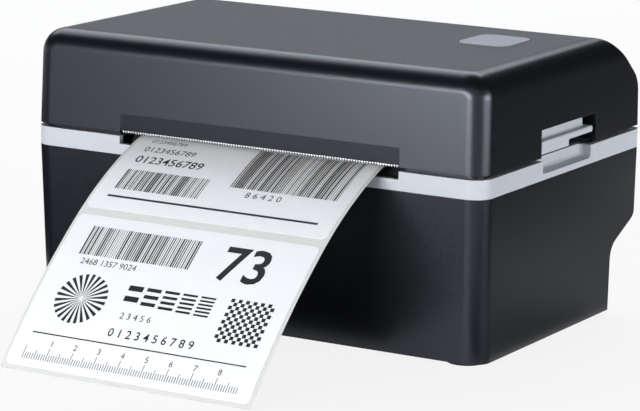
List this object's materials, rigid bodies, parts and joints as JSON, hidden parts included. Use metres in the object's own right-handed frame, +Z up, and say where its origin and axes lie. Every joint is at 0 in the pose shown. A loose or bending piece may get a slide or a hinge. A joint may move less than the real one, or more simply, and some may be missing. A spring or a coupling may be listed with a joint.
{
  "type": "thermal label printer",
  "caption": "Desktop direct-thermal label printer: black casing with a grey band, hinged lid with latch levers, feed button, platen drive, media guides and a label strip fed out to the table.",
  "frame": {"origin": "middle of the whole footprint, with the fed-out label strip, on the table under the feet", "axes": "+X to the printer's right as seen from its front, +Y from the label strip's free end to the rear, +Z up"},
  "size_m": [0.1926, 0.216, 0.1072],
  "materials": {
    "black_casing": "fine satin moulded plastic",
    "grey_casing": "fine satin moulded plastic",
    "foot_rubber": "matte rubber",
    "platen_rubber": "ground rubber",
    "steel": "turned steel",
    "plated_sheet": "zinc-plated sheet",
    "tear_steel": "stamped stainless sheet",
    "spring_steel": "drawn wire and strip",
    "screw_steel": "plated screws",
    "gear_plastic": "natural acetal",
    "pinion_brass": "hobbed brass",
    "bush_plastic": "filled acetal",
    "guide_plastic": "moulded plastic",
    "motor_can": "zinc-plated can",
    "board_green": "solder mask on laminate",
    "component_black": "moulded plastic",
    "socket_metal": "nickel plate",
    "head_alloy": "extruded and anodised",
    "head_ceramic": "glazed substrate",
    "liner_paper": "glassine liner",
    "label_paper": "direct thermal paper"
  },
  "bodies": {
    "base": {"base_housing": "black_casing", "bottom_cover": "black_casing", "rubber_feet": "foot_rubber", "cover_screws": "screw_steel", "middle_frame": "grey_casing", "frame_screws": "screw_steel", "left_side_plate": "plated_sheet", "right_side_plate": "plated_sheet", "plate_screws": "screw_steel", "platen_bushes": "bush_plastic", "idler_stud": "steel", "stepper_motor": "motor_can", "motor_screws": "screw_steel", "pinion_screw": "screw_steel", "guide_cover": "guide_plastic", "guide_cover_screws": "screw_steel", "gap_sensor_lower": "component_black", "main_board": "board_green", "board_components": "component_black", "board_standoffs": "socket_metal", "board_screws": "screw_steel", "usb_socket": "socket_metal", "dc_inlet": "component_black", "switch_body": "component_black", "hinge_pins": "steel", "latch_keepers": "plated_sheet", "label_liner": "liner_paper", "die_cut_labels": "label_paper"},
    "platen": {"platen_shaft": "steel", "platen_rubber": "platen_rubber", "platen_gear": "gear_plastic", "shaft_clips": "spring_steel"},
    "idler": {"idler_gear": "gear_plastic"},
    "motor_rotor": {"motor_shaft": "steel", "motor_pinion": "pinion_brass"},
    "right_guide": {"guide_right": "guide_plastic"},
    "left_guide": {"guide_left": "guide_plastic"},
    "pinion": {"guide_pinion": "gear_plastic"},
    "rocker": {"power_rocker": "component_black"},
    "lid": {"lid_shell": "black_casing", "lid_liner": "black_casing", "liner_screws": "screw_steel", "tear_bar": "tear_steel", "head_carrier": "plated_sheet", "carrier_screws": "screw_steel", "head_springs": "spring_steel", "button_board": "board_green", "button_switch": "component_black", "gap_sensor_upper": "component_black", "latch_springs": "spring_steel"},
    "button": {"feed_button": "grey_casing"},
    "latch": {"latch_lever_right": "grey_casing", "latch_lever_left": "grey_casing", "latch_shaft": "steel"},
    "head": {"head_heatsink": "head_alloy", "thermal_head": "head_ceramic", "head_connector": "component_black", "head_pivot_pin": "steel"}
  },
  "joints": [
    {"name": "lid_hinge", "type": "hinge", "parent": "base", "child": "lid", "pos_m": [0, 0.10453, 0.0732], "axis": [-1, 0, 0], "range_deg": [0, 90]},
    {"name": "latch_release", "type": "hinge", "parent": "lid", "child": "latch", "pos_m": [0, 0.03193, 0.0775], "axis": [1, 0, 0], "range_deg": [0, 6], "stiffness_Nm_per_rad": 1.5, "springref_deg": -2.86},
    {"name": "feed_press", "type": "slide", "parent": "lid", "child": "button", "axis": [0, 0, -1], "range_m": [0, 0.001], "stiffness_N_per_m": 1200, "springref_m": -0.0005},
    {"name": "head_float", "type": "hinge", "parent": "lid", "child": "head", "pos_m": [0, 0.00053, 0.07657], "axis": [-1, 0, 0], "range_deg": [0, 2.5], "stiffness_Nm_per_rad": 6, "springref_deg": -5.73, "deforming": ["head_springs"]},
    {"name": "platen_spin", "type": "hinge", "parent": "base", "child": "platen", "pos_m": [0, -0.00717, 0.0622], "axis": [1, 0, 0], "continuous": true},
    {"name": "idler_spin", "type": "hinge", "parent": "base", "child": "idler", "pos_m": [0, 0.00084, 0.04938], "axis": [1, 0, 0], "continuous": true},
    {"name": "motor_spin", "type": "hinge", "parent": "base", "child": "motor_rotor", "pos_m": [0, 0.0179, 0.03744], "axis": [1, 0, 0], "continuous": true},
    {"name": "guide_right_slide", "type": "slide", "parent": "base", "child": "right_guide", "axis": [1, 0, 0], "range_m": [-0.04, 0.006]},
    {"name": "guide_left_slide", "type": "slide", "parent": "base", "child": "left_guide", "axis": [1, 0, 0], "range_m": [-0.006, 0.04]},
    {"name": "guide_pinion_spin", "type": "hinge", "parent": "base", "child": "pinion", "pos_m": [0.0027, 0.07003, 0.0587], "axis": [0, 0, 1], "range_deg": [-360, 55]},
    {"name": "power_switch", "type": "hinge", "parent": "base", "child": "rocker", "pos_m": [-0.03, 0.08723, 0.012], "axis": [1, 0, 0], "range_deg": [0, 16]}
  ],
  "couplings": [
    {"joint": "idler_spin", "follows": "platen_spin", "ratio": -1.5},
    {"joint": "motor_spin", "follows": "platen_spin", "ratio": 5.4},
    {"joint": "guide_left_slide", "follows": "guide_right_slide", "ratio": -1},
    {"joint": "guide_pinion_spin", "follows": "guide_right_slide", "rad_per_m": 156.25}
  ]
}
